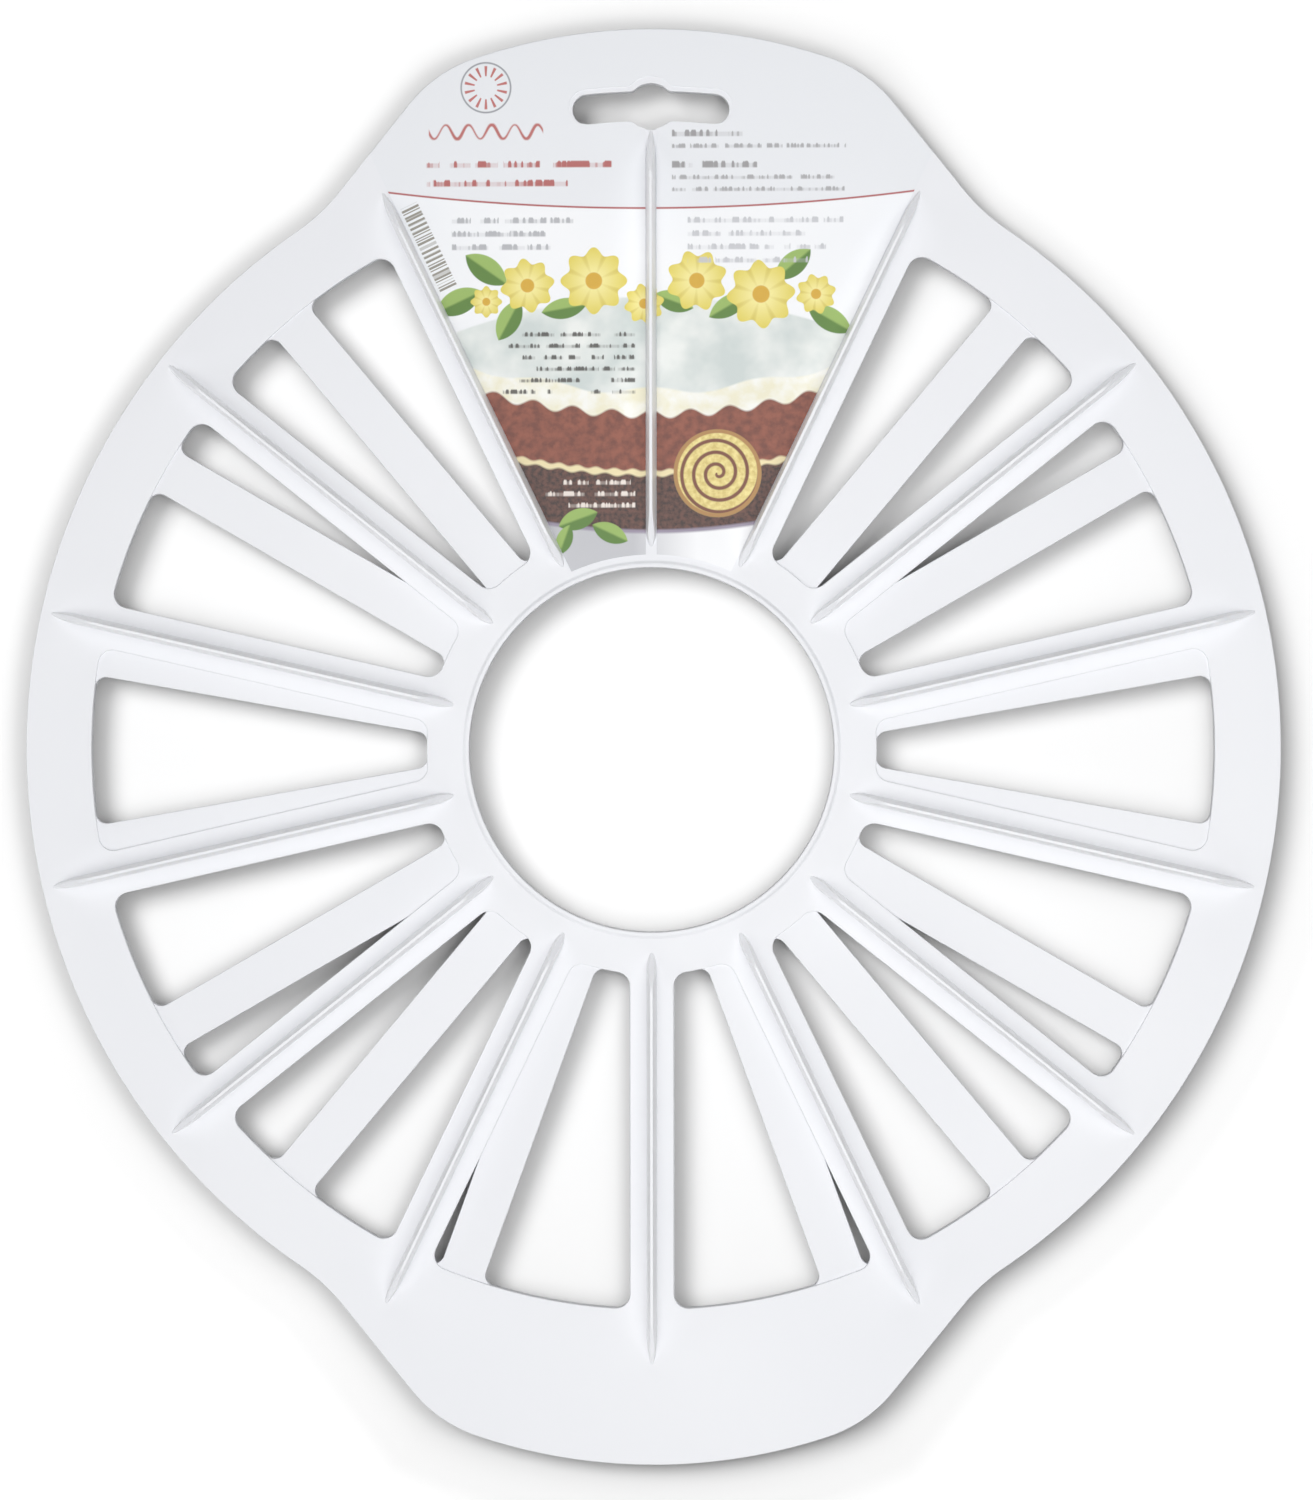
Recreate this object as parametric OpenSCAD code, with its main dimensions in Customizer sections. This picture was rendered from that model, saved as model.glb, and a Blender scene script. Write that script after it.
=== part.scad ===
// Two-sided cake portion marker.
// A flat moulded wheel with a blade standing on every spoke: one face marks a cake
// into 14 portions, the other into 18. Two ears are the handles, and one of them has
// a slot to hang the marker by. A thin printed sheet lies on the front, around the slot.
// The marker lies flat on its back blades. Z is up and Y runs from ear to ear.

/* [Disc] */
// Diameter of the round disc
disc_d = 275; // [230:1:320]
// Thickness of the disc at its rim and hub
disc_t = 2.4; // [1.8:0.1:4]
// Diameter of the round hole in the middle
hole_d = 80; // [60:1:100]
// Width of the hub ring, from the hole to the windows
hub_w = 9.3; // [7:0.1:14]
// Width of the rim, from the windows to the edge of the disc
rim_w = 14.4; // [10:0.1:20]
// Width of the raised lip around the hole
lip_w = 1.5; // [0.8:0.1:3]
// Height of the raised lip above the face
lip_h = 0.5; // [0.2:0.1:1.5]

/* [Spokes] */
// Portions that the front face marks
front_portions = 14; // [8:1:18]
// Portions that the back face marks
back_portions = 18; // [8:1:20]
// Width of a back spoke
spoke_w = 9.9; // [7:0.1:11]
// Width by which a front spoke is narrower than a back one
spoke_trim = 0.3; // [0.2:0.1:2]
// Drop from the hub's face to the face of the other side's spokes
spoke_step = 0.6; // [0.2:0.1:0.8]
// Radius of the corners between the front spokes
front_corner_r = 3.2; // [2.6:0.1:4]
// Radius of the corners between the back spokes
back_corner_r = 2.4; // [1:0.1:2.5]

/* [Blades] */
// Height of a blade above its face
blade_h = 6.3; // [4:0.1:12]
// Thickness of a blade at its root
root_w = 2.0; // [1.6:0.1:4]
// Thickness of a blade at its ridge
ridge_w = 0.7; // [0.4:0.1:1.4]
// Gap from the hole to the inner end of the blades
blade_hole_gap = 4.5; // [3:0.5:7]
// Gap from the outer end of the blades to the edge of the disc
blade_edge_gap = 2.3; // [1.5:0.1:8]
// Length of the slope at a blade's inner end
inner_slope_l = 7.5; // [3:0.5:12]
// Length of the slope at a blade's outer end
outer_slope_l = 9.5; // [5:0.5:14]
// Length over which a blade's inner end narrows to its tip
inner_tip_l = 2.5; // [1:0.5:5]
// Length over which a blade's outer end narrows to its tip
outer_tip_l = 4.5; // [2:0.5:6]
// Thickness left at both tips of a blade
tip_w = 0.5; // [0.3:0.1:1.4]

/* [Ears] */
// Reach of an ear past the disc
ear_reach = 19.9; // [16:0.1:30]
// Radius of the ear's end
ear_end_r = 122; // [110:1:140]
// Slope of the ear's flanks against the X axis
flank_angle = 51.2; // [49:0.1:54]
// Distance by which a flank's line cuts inside the disc
flank_inset = 7.8; // [6:0.1:10]
// Radius where the ear's end turns into its flank
ear_corner_r = 31; // [10:1:40]
// Radius where the flank runs into the disc
ear_root_r = 43; // [20:1:60]

/* [Hang slot] */
// Length of the slot over its round ends
slot_l = 34.2; // [24:0.2:50]
// Width of the slot
slot_w = 6.6; // [4:0.2:8]
// Diameter of the round notch in the slot's middle
notch_d = 10.1; // [9:0.1:13]
// Radius where the notch runs into the slot
notch_blend_r = 1.6; // [0.8:0.1:3]
// Gap from the slot's notch to the tip of the nearest blade
slot_blade_gap = 0.25; // [0.2:0.05:3]

/* [Printed sheet] */
// Thickness of the sheet
sheet_t = 0.3; // [0.2:0.05:0.6]
// Distance that the sheet stays inside the ear's edge
sheet_edge_gap = 0.3; // [0.1:0.1:2]
// Gap between the sheet and the root of a blade
sheet_blade_gap = 0.2; // [0.1:0.05:1]
// Gap between the sheet and the lip around the hole
sheet_lip_gap = 1.3; // [0.5:0.1:3]
// Extra size of the sheet's cut-out at the slot's ends
sheet_slot_end = 0.9; // [0.2:0.1:2]
// Extra size of the sheet's cut-out at the slot's outer side
sheet_slot_side = 1.1; // [0.2:0.1:2]
// Extra size of the sheet's cut-out at the outer side of the notch
sheet_notch_side = 1.5; // [0.4:0.1:3]

/* [Hidden] */

$fn = 180;
// Straight pieces in each small rounding
steps = 6;
// Depth by which one solid is sunk into another, and past which a cut runs on
sink = 0.4;
// Degrees by which a large and a small rounding stop short of the circle that they run into,
// so that their walls cross it instead of grazing it
large_stop = 3;
small_stop = 8;

disc_r = disc_d / 2;
hole_r = hole_d / 2;
hub_r = hole_r + hub_w;
rim_r = disc_r - rim_w;
layer_t = disc_t - spoke_step;

// Heights of the two faces
back_z = blade_h;
front_z = blade_h + disc_t;

blade_in = hole_r + blade_hole_gap;
blade_out = disc_r - blade_edge_gap;

// Y is the direction of the first blade on both faces
first_angle = 90;

slot_mid_r = blade_out + slot_blade_gap + notch_d / 2;

// A point at a distance and an angle from a centre
function polar(r, a, c = [0, 0]) = c + r * [cos(a), sin(a)];

// Points along an arc about a centre
function arc(c, r, from, to, n = steps) = [for (i = [0 : n]) polar(r, from + (to - from) * i / n, c)];

function mirrored(points) = [for (i = [len(points) - 1 : -1 : 0]) [-points[i].x, points[i].y]];

// Right half of an ear, from the disc's edge to the ear's end, moved inwards by an inset.
// The flank is a straight line, given by its distance from the middle of the disc.
function ear_side(inset) =
    let (
        out = [sin(flank_angle), cos(flank_angle)],
        along = [-cos(flank_angle), sin(flank_angle)],
        flank_d = disc_r - flank_inset - inset,
        // The root's arc lies outside and touches the disc and the flank
        root_r = ear_root_r + inset,
        root_c = (flank_d + root_r) * out
            + sqrt(pow(disc_r - inset + root_r, 2) - pow(flank_d + root_r, 2)) * along,
        root_from = atan2(-root_c.y, -root_c.x),
        root_to = atan2(-out.y, -out.x),
        // The corner's arc lies inside and touches the flank and the end's arc
        corner = ear_corner_r - inset,
        end_c = [0, disc_r + ear_reach - ear_end_r],
        end_r = ear_end_r - inset,
        across = flank_d - corner - end_c * out,
        corner_c = (flank_d - corner) * out
            + (end_c * along + sqrt(pow(end_r - corner, 2) - across * across)) * along,
        corner_from = atan2(out.y, out.x),
        corner_to = atan2(corner_c.y - end_c.y, corner_c.x - end_c.x)
    )
    concat(
        arc(root_c, root_r, root_from - large_stop, root_to, 2 * steps),
        arc(corner_c, corner, corner_from, corner_to - large_stop, 2 * steps),
        [polar(end_r + corner, corner_to, end_c)]
    );

module ear_2d(inset) {
    side = ear_side(inset);
    intersection() {
        translate([0, disc_r + ear_reach - ear_end_r])
            circle(r = ear_end_r - inset);
        polygon(concat([[0, 0]], side, mirrored(side)));
    }
}

module outline_2d(inset = 0) {
    circle(r = disc_r - inset);
    ear_2d(inset);
    mirror([0, 1])
        ear_2d(inset);
}

// Side of one window, for a window that lies along X: the wall of the spoke above it,
// with the inner and the outer corner rounded. It starts inside the hub and ends outside the rim.
function window_side(half, width, corner_r) =
    let (
        wall = width / 2 + corner_r,
        in_a = half - asin(wall / (hub_r + corner_r)),
        out_a = half - asin(wall / (rim_r - corner_r))
    )
    concat(
        [polar(hub_r - corner_r, in_a)],
        arc(polar(hub_r + corner_r, in_a), corner_r, in_a + 180 - small_stop, half + 90),
        arc(polar(rim_r - corner_r, out_a), corner_r, half + 90, out_a + small_stop),
        [polar(rim_r + corner_r, out_a)]
    );

module window_2d(half, width, corner_r) {
    side = window_side(half, width, corner_r);
    polygon(concat(side, [for (i = [len(side) - 1 : -1 : 0]) [side[i].x, -side[i].y]]));
}

// Plan of the wheel that marks one number of portions
module wheel_2d(portions, width, corner_r) {
    pitch = 360 / portions;
    difference() {
        outline_2d();
        intersection() {
            difference() {
                circle(r = rim_r);
                circle(r = hub_r);
            }
            for (i = [0 : portions - 1])
                rotate(first_angle + (i + 0.5) * pitch)
                    window_2d(pitch / 2, width, corner_r);
        }
    }
}

// One blade along X that stands on the plane Z = 0. Three views cut it out of each other:
// its cross-section, its side with both slopes, and its plan with the narrowed tips.
module blade() {
    length = blade_out - blade_in;
    intersection() {
        translate([blade_in, 0, 0])
            rotate([90, 0, 90])
                linear_extrude(length)
                    polygon([
                        [-root_w / 2, -sink],
                        [root_w / 2, -sink],
                        [root_w / 2, 0],
                        [ridge_w / 2, blade_h],
                        [-ridge_w / 2, blade_h],
                        [-root_w / 2, 0]
                    ]);
        translate([0, root_w, 0])
            rotate([90, 0, 0])
                linear_extrude(2 * root_w)
                    polygon([
                        [blade_in, -sink],
                        [blade_out, -sink],
                        [blade_out, 0],
                        [blade_out - outer_slope_l, blade_h],
                        [blade_in + inner_slope_l, blade_h],
                        [blade_in, 0]
                    ]);
        translate([0, 0, -sink])
            linear_extrude(blade_h + 2 * sink)
                polygon([
                    [blade_in, -tip_w / 2],
                    [blade_in + inner_tip_l, -root_w / 2],
                    [blade_out - outer_tip_l, -root_w / 2],
                    [blade_out, -tip_w / 2],
                    [blade_out, tip_w / 2],
                    [blade_out - outer_tip_l, root_w / 2],
                    [blade_in + inner_tip_l, root_w / 2],
                    [blade_in, tip_w / 2]
                ]);
    }
}

module blade_ring(portions) {
    for (i = [0 : portions - 1])
        rotate(first_angle + i * 360 / portions)
            blade();
}

// Raised lip around the hole, standing on the plane Z = 0, with a bevelled outer edge
module lip() {
    rotate_extrude()
        polygon([
            [hole_r - sink, -sink],
            [hole_r + lip_w, -sink],
            [hole_r + lip_w, 0],
            [hole_r + lip_w / 2, lip_h],
            [hole_r - sink, lip_h]
        ]);
}

// What one face carries: its blades and the lip
module face_relief(portions) {
    blade_ring(portions);
    lip();
}

// Right half of the hang slot: a bar bent around the hub, with a round end and a round notch.
// The notch's blend touches the notch and the bar from outside, on both of its long sides.
function slot_half(mid_r, length, width, notch_mid_r, notch_r) =
    let (
        end_a = asin((length - width) / 2 / mid_r),
        far = mid_r + width / 2 + notch_blend_r,
        near = mid_r - width / 2 - notch_blend_r,
        reach = notch_r + notch_blend_r,
        // Angle at the hub between the notch's middle and each blend's middle
        far_a = acos((far * far + notch_mid_r * notch_mid_r - reach * reach) / (2 * far * notch_mid_r)),
        near_a = acos((near * near + notch_mid_r * notch_mid_r - reach * reach) / (2 * near * notch_mid_r)),
        notch_c = [0, notch_mid_r],
        far_c = polar(far, first_angle - far_a),
        near_c = polar(near, first_angle - near_a),
        far_dir = atan2(far_c.y - notch_c.y, far_c.x - notch_c.x),
        near_dir = atan2(near_c.y - notch_c.y, near_c.x - notch_c.x),
        far_hub = first_angle - far_a,
        near_hub = first_angle - near_a,
        end_dir = first_angle - end_a
    )
    concat(
        arc(notch_c, notch_r, -90, near_dir),
        arc(near_c, notch_blend_r, near_dir + 180, near_hub),
        arc([0, 0], mid_r - width / 2, near_hub, end_dir),
        arc(polar(mid_r, end_dir), width / 2, end_dir - 180, end_dir),
        arc([0, 0], mid_r + width / 2, end_dir, far_hub),
        arc(far_c, notch_blend_r, far_hub + 180, far_dir + 180),
        arc(notch_c, notch_r, far_dir, 90)
    );

module slot_2d(mid_r, length, width, notch_mid_r, notch_r) {
    half = slot_half(mid_r, length, width, notch_mid_r, notch_r);
    polygon(concat(half, mirrored(half)));
}

module divider() {
    color("whitesmoke")
        difference() {
            union() {
                translate([0, 0, back_z])
                    linear_extrude(layer_t)
                        wheel_2d(back_portions, spoke_w, back_corner_r);
                translate([0, 0, front_z - layer_t])
                    linear_extrude(layer_t)
                        wheel_2d(front_portions, spoke_w - spoke_trim, front_corner_r);
                translate([0, 0, front_z])
                    face_relief(front_portions);
                translate([0, 0, back_z])
                    mirror([0, 0, 1])
                        face_relief(back_portions);
            }
            translate([0, 0, -sink])
                cylinder(r = hole_r, h = 2 * blade_h + disc_t + 2 * sink);
            translate([0, 0, back_z - sink])
                linear_extrude(disc_t + 2 * sink)
                    slot_2d(slot_mid_r, slot_l, slot_w, slot_mid_r, notch_d / 2);
        }
}

// The sheet lies between the blades on both sides of the first one, and is slit for that one
module printed_sheet() {
    side_gap = root_w / 2 + sheet_blade_gap;
    half = 360 / front_portions;
    apex = side_gap / sin(half);
    far = 2 * disc_r;
    inner_r = hole_r + lip_w + sheet_lip_gap;
    cut_side = sheet_slot_side;
    cut_notch = sheet_notch_side;
    color("white")
        translate([0, 0, front_z])
            linear_extrude(sheet_t)
                difference() {
                    intersection() {
                        outline_2d(sheet_edge_gap);
                        polygon([
                            [0, apex],
                            polar(far, first_angle - half, [0, apex]),
                            polar(far, first_angle + half, [0, apex])
                        ]);
                    }
                    circle(r = inner_r);
                    translate([-side_gap, 0])
                        square([2 * side_gap, slot_mid_r]);
                    slot_2d(
                        slot_mid_r + cut_side / 2,
                        slot_l + 2 * sheet_slot_end,
                        slot_w + cut_side,
                        slot_mid_r + cut_notch / 2,
                        (notch_d + cut_notch) / 2
                    );
                }
}

divider();
printed_sheet();
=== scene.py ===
# %% [markdown]
# # A cake portion marker, step by step
# The object is a flat plastic wheel with two ears. A thin blade stands on every spoke, and the blades
# press portion lines into the cream on a cake: 14 lines on the front, 18 on the back. A printed sheet
# lies on the front. Everything is in metres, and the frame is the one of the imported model, so the first
# step loads that model and reads its sizes.

# %% Load the frame and read its sizes
import math

import bmesh
import bpy
import numpy as np
from mathutils import Matrix, Vector
from mathutils.geometry import delaunay_2d_cdt


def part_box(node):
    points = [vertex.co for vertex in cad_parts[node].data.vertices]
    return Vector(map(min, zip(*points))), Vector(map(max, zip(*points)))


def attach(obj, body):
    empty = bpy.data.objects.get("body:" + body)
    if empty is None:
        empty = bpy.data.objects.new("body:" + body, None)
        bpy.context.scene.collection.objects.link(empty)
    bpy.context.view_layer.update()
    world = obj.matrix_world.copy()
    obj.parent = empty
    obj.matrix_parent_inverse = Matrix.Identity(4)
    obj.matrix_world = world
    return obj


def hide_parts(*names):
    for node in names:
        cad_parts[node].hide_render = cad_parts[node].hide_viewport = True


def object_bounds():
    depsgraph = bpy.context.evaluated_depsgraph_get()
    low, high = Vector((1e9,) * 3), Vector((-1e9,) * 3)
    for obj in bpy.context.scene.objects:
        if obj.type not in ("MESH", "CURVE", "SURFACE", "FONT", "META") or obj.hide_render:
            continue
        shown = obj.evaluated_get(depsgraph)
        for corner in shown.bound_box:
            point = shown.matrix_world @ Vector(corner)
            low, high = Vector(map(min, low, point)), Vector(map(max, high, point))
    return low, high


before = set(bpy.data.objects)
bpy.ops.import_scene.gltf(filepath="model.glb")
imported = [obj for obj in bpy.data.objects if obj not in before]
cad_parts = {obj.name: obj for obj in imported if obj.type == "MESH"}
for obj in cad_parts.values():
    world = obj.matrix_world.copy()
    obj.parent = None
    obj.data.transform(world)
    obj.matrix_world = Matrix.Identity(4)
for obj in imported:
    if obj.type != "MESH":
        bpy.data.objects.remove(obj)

MM = 0.001
cad_low, cad_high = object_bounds()
FRONT_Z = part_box("printed_sheet")[0].z
BLADE_H = cad_high.z - FRONT_Z
BACK_Z = BLADE_H
print("disc from", round(BACK_Z / MM, 2), "to", round(FRONT_Z / MM, 2), "mm")
print("blades", round(BLADE_H / MM, 2), "mm high")

# %% [markdown]
# ## The camera
# The picture is taken straight from above, through a long lens. The top and the right of the wheel are a
# touch larger than the bottom and the left, which tells that the camera leans by a hair to that side.
# A camera is three directions: one looks back from the target, one is right and one is up.

# %% Camera
PICTURE = (1313, 1500)
CAMERA_DISTANCE = 0.62
PIXELS_PER_METRE = 4564.2
LEAN = (0.0151, 0.0182)
TURN = math.radians(0.058)
HUB_PIXEL_X = 651.0

back = np.array([LEAN[0], LEAN[1], 1.0])
back /= np.linalg.norm(back)
right = np.cross([math.sin(TURN), math.cos(TURN), 0.0], back)
right /= np.linalg.norm(right)
up = np.cross(back, right)
spot = np.array([0.0, 0.0, FRONT_Z]) + CAMERA_DISTANCE * back

camera_data = bpy.data.cameras.new("camera")
camera_data.sensor_width = 36.0
camera_data.lens = PIXELS_PER_METRE * CAMERA_DISTANCE / PICTURE[1] * camera_data.sensor_width
camera_data.shift_x = ((PICTURE[0] - 1) / 2 - HUB_PIXEL_X) / PICTURE[1]
camera_data.clip_end = 20.0
camera = bpy.data.objects.new("camera", camera_data)
pose = np.eye(4)
pose[:3, 0], pose[:3, 1], pose[:3, 2], pose[:3, 3] = right, up, back, spot
camera.matrix_world = Matrix(pose.tolist())
bpy.context.scene.collection.objects.link(camera)
bpy.context.scene.camera = camera
print("lens", round(camera_data.lens, 1), "mm at", np.round(spot, 3))

# %% [markdown]
# ## Paths for the walls
# Every wall of the moulding follows a closed path in the plan: the outline with its ears, the windows
# between the spokes, the round hole and the slot. A path is made of arcs that touch each other, so the
# straight walls are simply the gaps between them. Each point also keeps the direction into the material,
# because the edges are rounded along it.

# %% Arcs and paths
def arc(centre, radius, start, end, count, into):
    """Points centre + radius (cos a, sin a) for a from start to end in degrees, and the unit
    directions into the material, which are the ray from the centre times into, 1 or -1."""
    a = np.radians(np.linspace(start, end, count))
    ray = np.stack([np.cos(a), np.sin(a)], axis=1)
    return np.asarray(centre, float) + radius * ray, into * ray


def join(parts, nearby=0.25 * MM):
    """One closed path from arcs in order. Where two arcs touch, their shared point is kept once. Where
    they are far apart, the straight wall between them gets a point close to each of its ends, so that
    the smooth shading stays in the bend."""
    points, normals = [], []
    for k, (p, n) in enumerate(parts):
        start, end = p[-1], parts[(k + 1) % len(parts)][0][0]
        length = np.linalg.norm(end - start)
        keep = len(p) - (length < 0.02 * nearby)
        points.append(p[:keep])
        normals.append(n[:keep])
        if length > 4 * nearby:
            t = np.array([nearby, length / 2, length - nearby])[:, None] / length
            points.append(start + t * (end - start))
            normals.append(np.repeat(n[-1:], 3, axis=0))
    return np.concatenate(points), np.concatenate(normals)


def flipped(path, axis):
    """The path mirrored across an axis, and turned round so that it runs the same way again."""
    points, normals = (a.copy() for a in path)
    points[:, axis] *= -1
    normals[:, axis] *= -1
    return points[::-1], normals[::-1]


def polar(radius, degrees):
    """The point at a distance and a direction from the hub's middle."""
    a = math.radians(degrees)
    return radius * np.array([math.cos(a), math.sin(a)])


def heading(vector):
    """Direction of a vector in degrees."""
    return math.degrees(math.atan2(vector[1], vector[0]))


# %% Outline with two ears
DISC_R = 137.5 * MM
EAR_REACH, EAR_END_R = 19.9 * MM, 122.0 * MM
FLANK_ANGLE, FLANK_INSET = 51.2, 7.8 * MM
EAR_CORNER_R, EAR_ROOT_R = 31.0 * MM, 43.0 * MM


def outline_quarter(inset):
    """The outline from the X axis to the Y axis: the disc, a hollow root arc, the straight flank,
    a corner arc and the ear's flat end arc. Each arc's centre follows from the ones that it touches."""
    out = polar(1.0, 90 - FLANK_ANGLE)
    along = np.array([-out[1], out[0]])
    flank = DISC_R - FLANK_INSET - inset
    disc, root = DISC_R - inset, EAR_ROOT_R + inset
    corner, end = EAR_CORNER_R - inset, EAR_END_R - inset
    root_c = (flank + root) * out + math.sqrt((disc + root) ** 2 - (flank + root) ** 2) * along
    end_c = np.array([0.0, DISC_R + EAR_REACH - EAR_END_R])
    across = flank - corner - end_c @ out
    corner_c = (flank - corner) * out + (end_c @ along + math.sqrt((end - corner) ** 2 - across**2)) * along
    root_start = heading(root_c)
    corner_end = heading(corner_c - end_c)
    return [
        arc((0, 0), disc, 0.6, root_start, 60, -1),
        arc(root_c, root, root_start + 180, heading(out) + 180, 14, 1),
        arc(corner_c, corner, heading(out), corner_end, 18, -1),
        arc(end_c, end, corner_end, 90, 24, -1),
    ]


def outline_path(inset=0.0):
    """The whole outline, counterclockwise, from one quarter and its mirror images."""
    quarter = outline_quarter(inset)
    drop = [quarter[-1][0][:-1], quarter[-1][1][:-1]]
    upper = quarter + [flipped(drop, 0)] + [flipped(p, 0) for p in quarter[-2::-1]]
    return join(upper + [flipped(p, 1) for p in upper[::-1]])


outline = outline_path()
print("outline of", len(outline[0]), "points, ear at", round(outline[0][:, 1].max() / MM, 2), "mm")

# %% Windows between the spokes
HUB_R, RIM_R = 49.3 * MM, 123.1 * MM


def window_path(middle, pitch, spoke, corner, grow=0.0):
    """One window, clockwise: an arc at the hub, one at the rim and four round corners between them.
    The side walls run parallel to the two spokes. grow moves the hub's and the rim's wall outwards."""
    half = pitch / 2
    hub, rim = HUB_R - grow, RIM_R + grow
    wall = spoke / 2 + corner
    inner = half - math.degrees(math.asin(wall / (hub + corner)))
    outer = half - math.degrees(math.asin(wall / (rim - corner)))
    points, normals = join([
        arc((0, 0), rim, middle - outer, middle + outer, 16, 1),
        arc(polar(rim - corner, middle + outer), corner, middle + outer, middle + half + 90, 8, 1),
        arc(polar(hub + corner, middle + inner), corner, middle + half + 90, middle + inner + 180, 8, 1),
        arc((0, 0), hub, middle + inner, middle - inner, 6, -1),
        arc(polar(hub + corner, middle - inner), corner, middle - inner - 180, middle - half - 90, 8, 1),
        arc(polar(rim - corner, middle - outer), corner, middle - half - 90, middle - outer, 8, 1),
    ])
    return points[::-1], normals[::-1]


def wheel_windows(portions, spoke, corner, grow=0.0):
    """The windows of one face, evenly round the hub. The first spoke points along +Y."""
    pitch = 360 / portions
    return [window_path(90 + (i + 0.5) * pitch, pitch, spoke, corner, grow) for i in range(portions)]


FRONT_PORTIONS, BACK_PORTIONS = 14, 18
FRONT_SPOKE_W, BACK_SPOKE_W = 9.6 * MM, 9.9 * MM
FRONT_CORNER_R, BACK_CORNER_R = 3.2 * MM, 2.4 * MM
HIDDEN = 0.05 * MM
front_windows = wheel_windows(FRONT_PORTIONS, FRONT_SPOKE_W, FRONT_CORNER_R)
back_windows = wheel_windows(BACK_PORTIONS, BACK_SPOKE_W, BACK_CORNER_R, HIDDEN)
print(len(front_windows), "front and", len(back_windows), "back windows")

# %% Hang slot
SLOT_MID_R, SLOT_L, SLOT_W = 140.5 * MM, 34.2 * MM, 6.6 * MM
NOTCH_R, NOTCH_BLEND_R = 5.05 * MM, 1.6 * MM


def slot_path(grow=0.0):
    """The slot, clockwise: a bar bent round the hub with round ends, and a round notch in its middle.
    Small arcs blend the notch into both long sides; each touches the notch and the side from outside."""
    half_w, notch, blend = SLOT_W / 2 + grow, NOTCH_R + grow, NOTCH_BLEND_R - grow
    notch_c = np.array([0.0, SLOT_MID_R])
    reach = notch + blend

    def blend_centre(radius):
        turn = math.acos((radius**2 + SLOT_MID_R**2 - reach**2) / (2 * radius * SLOT_MID_R))
        return polar(radius, 90 - math.degrees(turn))

    far, near = blend_centre(SLOT_MID_R + half_w + blend), blend_centre(SLOT_MID_R - half_w - blend)
    end = 90 - math.degrees(math.asin((SLOT_L - SLOT_W) / 2 / SLOT_MID_R))
    far_turn, near_turn = heading(far - notch_c), heading(near - notch_c)
    right_side = [
        arc(notch_c, notch, 90, far_turn, 8, 1),
        arc(far, blend, far_turn + 180, heading(far) + 180, 6, -1),
        arc((0, 0), SLOT_MID_R + half_w, heading(far), end, 8, 1),
        arc(polar(SLOT_MID_R, end), half_w, end, end - 180, 14, 1),
        arc((0, 0), SLOT_MID_R - half_w, end, heading(near), 8, -1),
        arc(near, blend, heading(near), near_turn + 180, 6, -1),
        arc(notch_c, notch, near_turn, -90, 8, 1),
    ]
    left_side = [flipped(p, 0) for p in right_side[::-1]]
    left_side[0] = tuple(a[1:] for a in left_side[0])
    left_side[-1] = tuple(a[:-1] for a in left_side[-1])
    return join(right_side + left_side)


slot = slot_path()
print("slot of", len(slot[0]), "points,", round(np.ptp(slot[0][:, 0]) / MM, 1), "mm long")

# %% [markdown]
# ## Walls and faces
# A moulded plate has no knife edges: where a face turns into a wall there is a rounding of a few tenths
# of a millimetre, and it is what catches the light along every edge. So each wall is a profile carried
# along its path. The flat face between the walls is filled with triangles, and the seam between a flat
# face and a rounding is marked sharp, so that the face stays perfectly flat in the light.

# %% Bands and meshes
def band(path, profile, closed=False):
    """A grid of points P_i + inset_j N_i at height z_j, for path point i and profile point j, and its
    quads. Seen along the path, the material is on the left, and the quads face away from it. A closed
    profile runs back to its first point."""
    points, normals = path
    plan = points[None] + profile[:, :1, None] * normals[None]
    rows, count = plan.shape[:2]
    heights = np.broadcast_to(profile[:, 1][:, None, None], (rows, count, 1))
    vertices = np.concatenate([plan, heights], axis=2).reshape(-1, 3)
    j, i = (a.ravel() for a in np.meshgrid(np.arange(rows - 1 + closed), np.arange(count), indexing="ij"))
    k, m = (i + 1) % count, (j + 1) % rows
    return vertices, np.stack([j * count + i, m * count + i, m * count + k, j * count + k], axis=1)


def rounding(edge, z, down, steps=4):
    """A quarter circle from a face at height z to a wall: inset edge (1 - sin a) and depth
    edge (1 - cos a) for a from 0 to 90 degrees. down is 1 below the face and -1 above it."""
    a = np.radians(np.linspace(0, 90, steps + 1))
    return np.stack([edge * (1 - np.sin(a)), z - down * edge * (1 - np.cos(a))], axis=1)


def inside(points, loop):
    """Whether points lie inside a closed loop: a ray along X crosses it an odd number of times."""
    a, b = loop, np.roll(loop, -1, axis=0)
    x, y = points[:, 0, None], points[:, 1, None]
    crosses = (a[:, 1] > y) != (b[:, 1] > y)
    slope = (b[:, 0] - a[:, 0]) / np.where(b[:, 1] == a[:, 1], 1e-12, b[:, 1] - a[:, 1])
    return (crosses & (x < a[:, 0] + slope * (y - a[:, 1]))).sum(axis=1) % 2 == 1


SLIVER = 1e-4 * MM**2


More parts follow.
